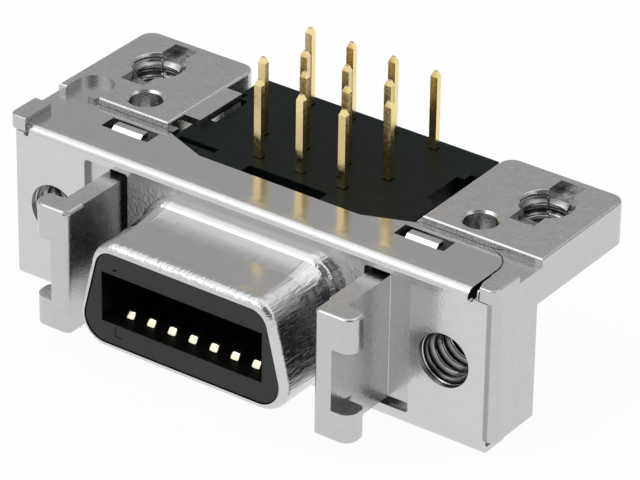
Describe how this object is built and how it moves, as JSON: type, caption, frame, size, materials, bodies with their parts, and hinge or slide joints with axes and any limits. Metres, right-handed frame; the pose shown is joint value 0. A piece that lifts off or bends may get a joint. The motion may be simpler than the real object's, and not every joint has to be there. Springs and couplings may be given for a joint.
{
  "type": "mini delta ribbon connector",
  "caption": "Right-angle mini delta ribbon receptacle with a D-shaped metal nose, hooked latch posts, cast board brackets and straight solder tails.",
  "frame": {"origin": "under the middle of the whole part's width and depth, at the height of the lowest face, on which it rests", "axes": "+X along the width, -Y out of the mating side, +Z along the solder tails towards the circuit board"},
  "size_m": [0.0294, 0.0166, 0.013],
  "materials": {
    "shell_nickel": "bright nickel plate over stamped steel",
    "casting_nickel": "satin nickel plate over a zinc casting with a fine grain",
    "insulator_black": "satin black moulded plastic",
    "locator_black": "satin black moulded plastic",
    "contact_gold": "bright gold plate"
  },
  "bodies": {
    "root": {"front_shell": "shell_nickel", "left_bracket": "casting_nickel", "right_bracket": "casting_nickel", "insulator": "insulator_black", "tail_locator": "locator_black", "upper_contact_1": "contact_gold", "upper_contact_2": "contact_gold", "upper_contact_3": "contact_gold", "upper_contact_4": "contact_gold", "upper_contact_5": "contact_gold", "upper_contact_6": "contact_gold", "upper_contact_7": "contact_gold", "lower_contact_1": "contact_gold", "lower_contact_2": "contact_gold", "lower_contact_3": "contact_gold", "lower_contact_4": "contact_gold", "lower_contact_5": "contact_gold", "lower_contact_6": "contact_gold", "lower_contact_7": "contact_gold"}
  },
  "joints": []
}
